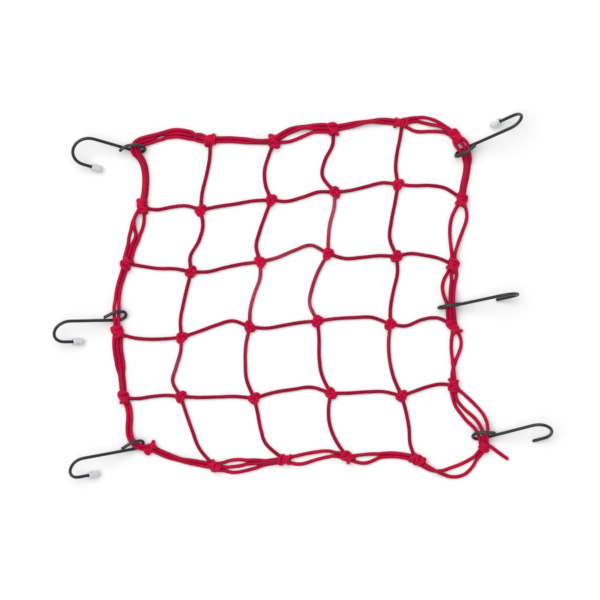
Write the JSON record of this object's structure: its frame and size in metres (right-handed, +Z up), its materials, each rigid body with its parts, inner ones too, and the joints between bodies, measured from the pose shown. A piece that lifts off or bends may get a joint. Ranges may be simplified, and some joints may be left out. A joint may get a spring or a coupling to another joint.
{
  "type": "elastic cargo net with wire hooks",
  "caption": "Square knotted mesh of elastic cord with a doubled border, lying flat, with bent wire hooks threaded on its border and soft caps on the hook points.",
  "frame": {"origin": "middle of the whole outline, on the surface that the net lies on", "axes": "+X to the right and +Y away in the plan as it lies, along the sides of the mesh; +Z up"},
  "size_m": [0.5478, 0.4008, 0.0398],
  "materials": {
    "cord": "finely braided sheath, crimson, slight sheen",
    "hook_wire": "smooth black coating, satin",
    "hook_cap": "milky white soft vinyl, slightly translucent"
  },
  "bodies": {
    "root": {"net": "cord", "hook_top_left": "hook_wire", "hook_mid_left": "hook_wire", "hook_low_left": "hook_wire", "hook_top_right": "hook_wire", "hook_mid_right": "hook_wire", "hook_low_right": "hook_wire", "cap_top_left": "hook_cap", "cap_mid_left": "hook_cap", "cap_low_left": "hook_cap", "cap_top_right": "hook_cap"}
  },
  "joints": []
}
